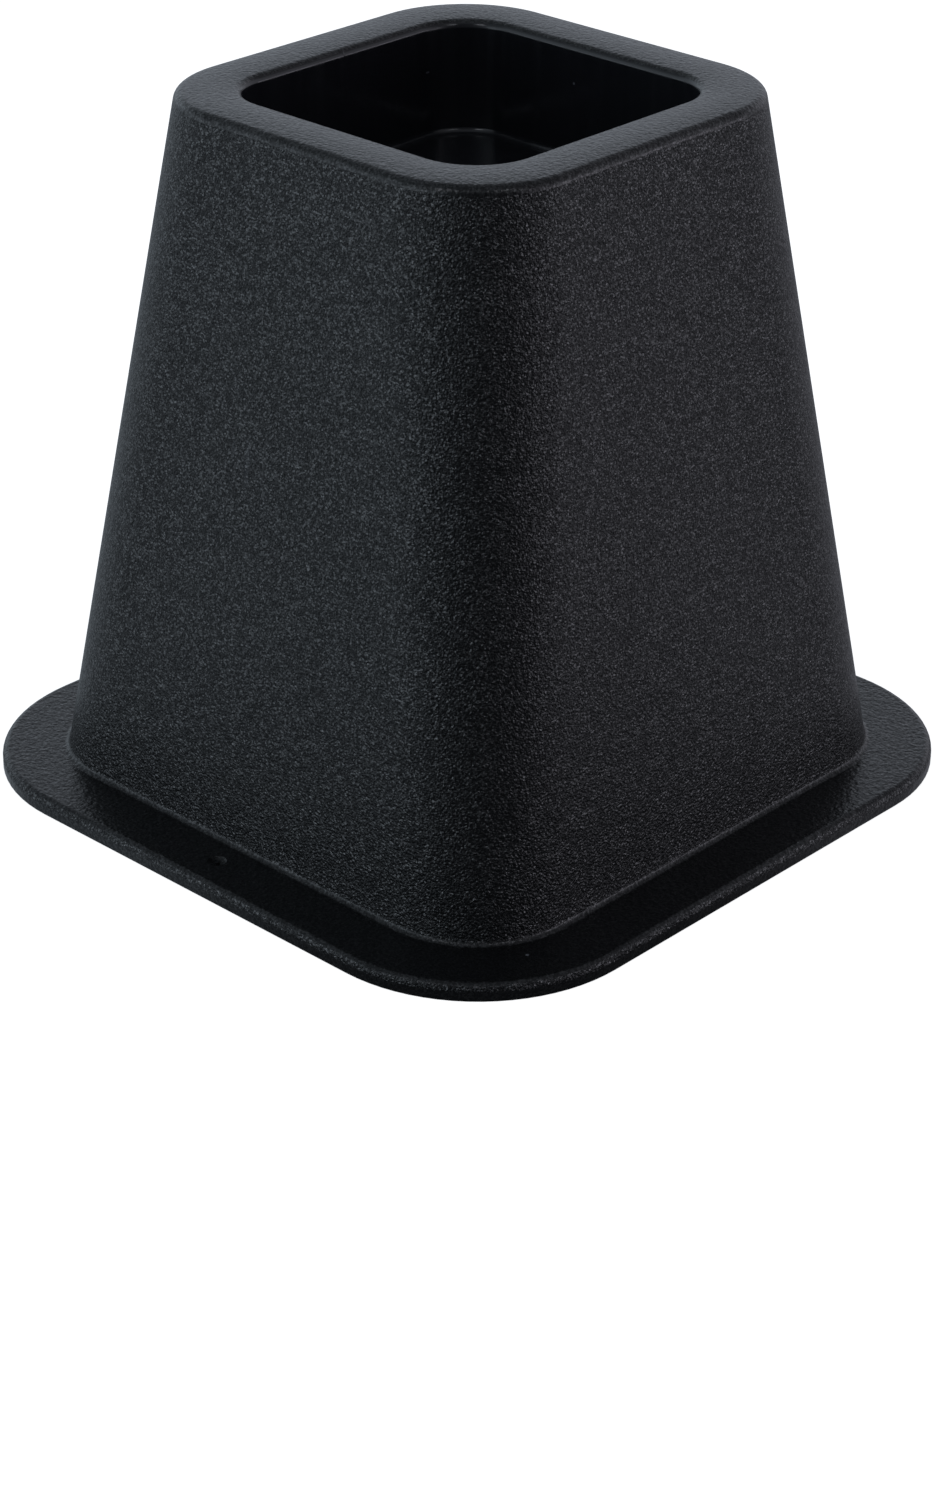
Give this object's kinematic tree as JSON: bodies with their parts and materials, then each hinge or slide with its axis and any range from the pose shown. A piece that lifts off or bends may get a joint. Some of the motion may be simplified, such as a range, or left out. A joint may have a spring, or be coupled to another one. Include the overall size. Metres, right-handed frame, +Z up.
{
  "type": "bed riser",
  "caption": "Square tapered bed riser moulded in one piece, with a foot flange, a hollow underside for stacking and a square cup in the top for a bed leg.",
  "frame": {"origin": "middle of the foot's underside, on the surface it stands on", "axes": "+Z up the tower towards the cup's mouth; X and Y square to the sides, with the moulding gate's dimple on the flange at the middle of the -Y side"},
  "size_m": [0.178, 0.178, 0.164],
  "materials": {
    "moulded_polypropylene": "black, fine moulded grain outside, smooth and glossy inside the cup"
  },
  "bodies": {
    "root": {"bed_riser": "moulded_polypropylene"}
  },
  "joints": []
}
